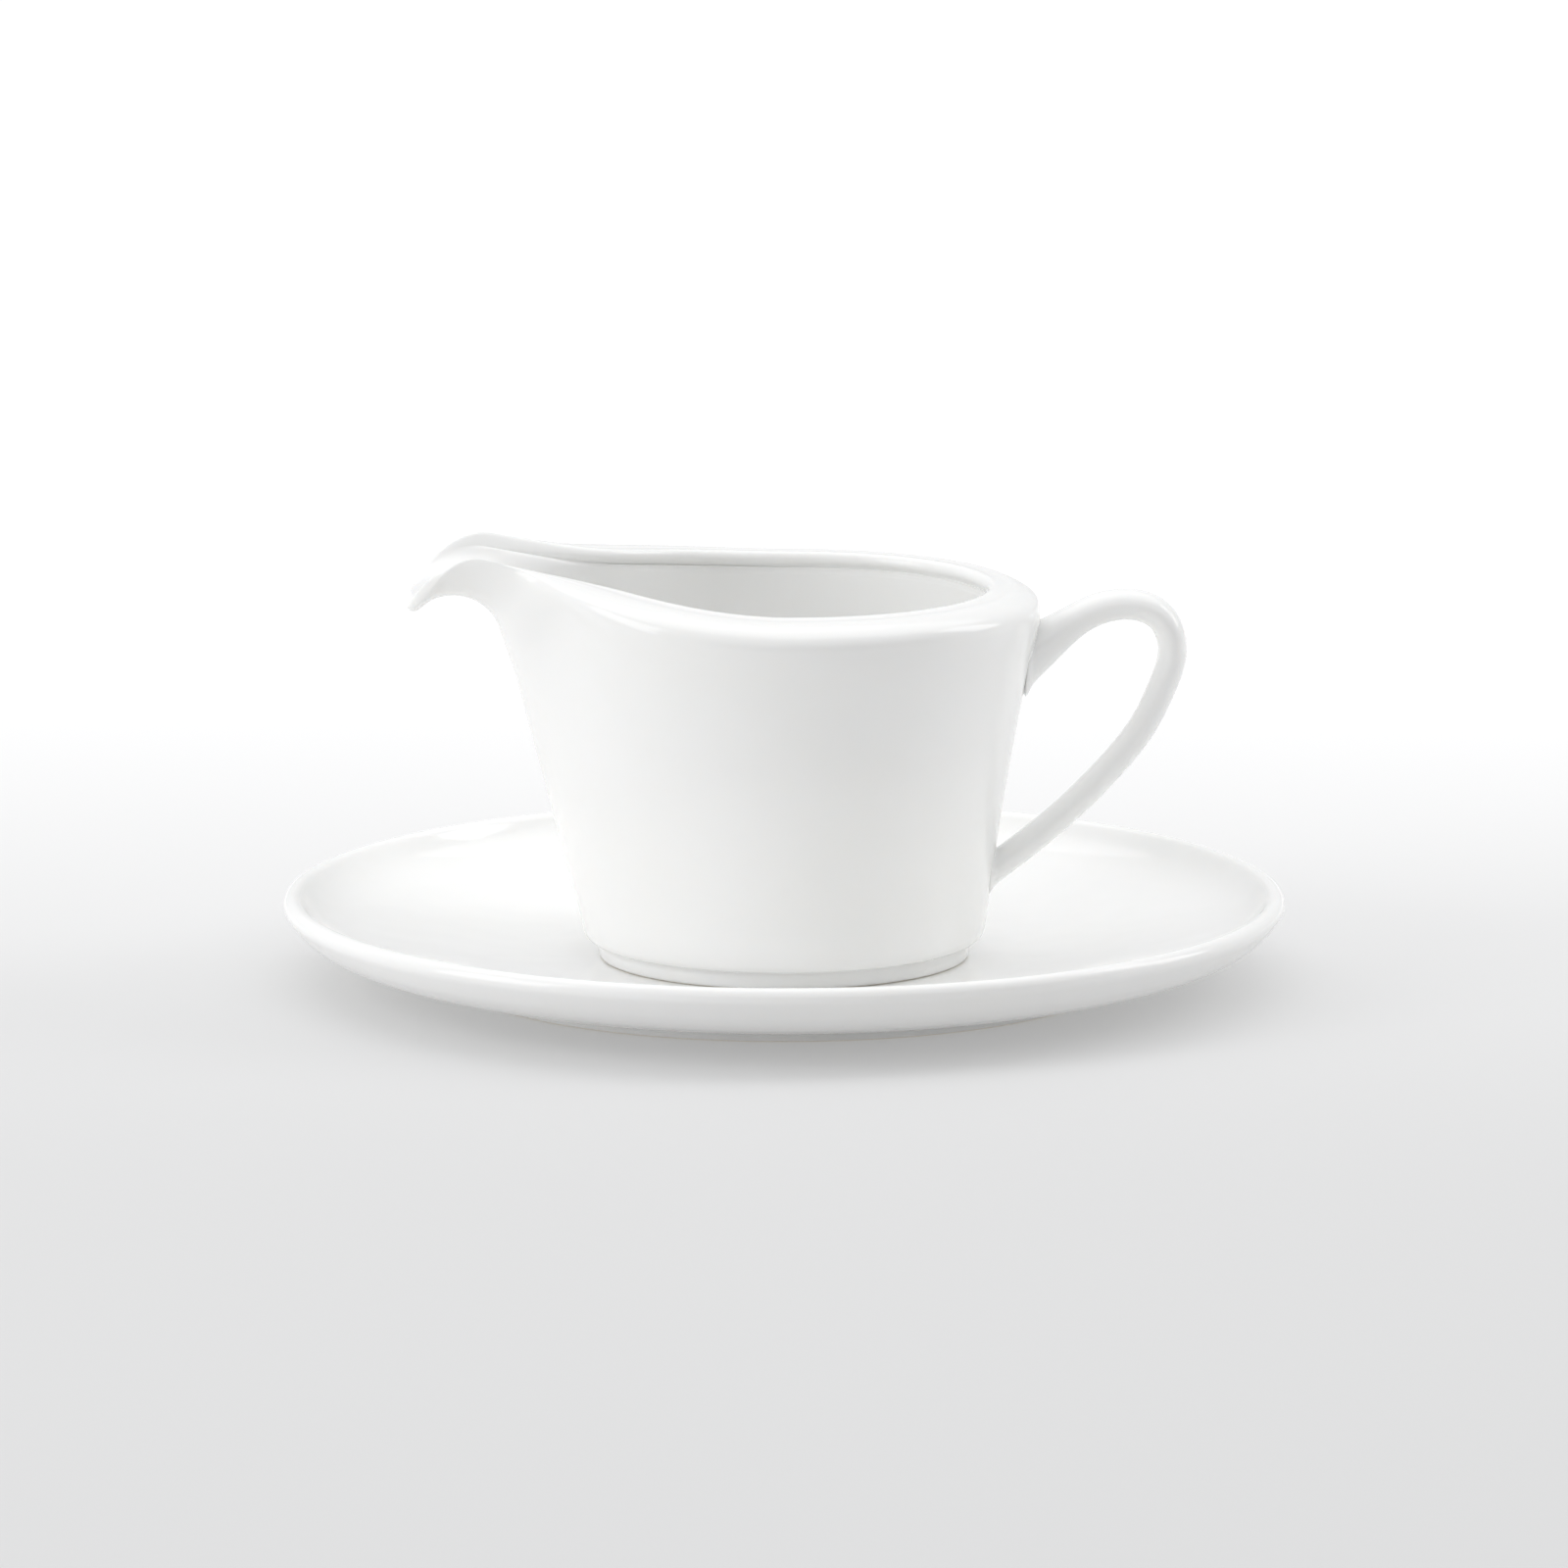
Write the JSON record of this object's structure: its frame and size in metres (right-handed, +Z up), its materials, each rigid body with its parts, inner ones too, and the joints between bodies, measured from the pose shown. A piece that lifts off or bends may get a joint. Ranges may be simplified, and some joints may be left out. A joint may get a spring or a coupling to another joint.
{
  "type": "gravy boat with saucer",
  "caption": "Round china sauce boat with a drooping pouring spout, inward rim and loop handle, resting loose on a round coupe saucer.",
  "frame": {"origin": "centre of the saucer's foot ring, on the table", "axes": "+X towards the handle, -X towards the spout, +Z up"},
  "size_m": [0.24, 0.24, 0.1045],
  "materials": {
    "saucer": "clear gloss glaze on white bone china; foot rings left unglazed",
    "boat_body": "clear gloss glaze on white bone china; foot rings left unglazed",
    "boat_handle": "clear gloss glaze on white bone china; foot rings left unglazed"
  },
  "bodies": {
    "saucer": {"saucer": "saucer"},
    "boat": {"boat_body": "boat_body", "boat_handle": "boat_handle"}
  },
  "joints": [
    {"name": "boat_lift", "type": "slide", "parent": "saucer", "child": "boat", "axis": [0, 0, 1], "range_m": [0, 0.12]}
  ]
}
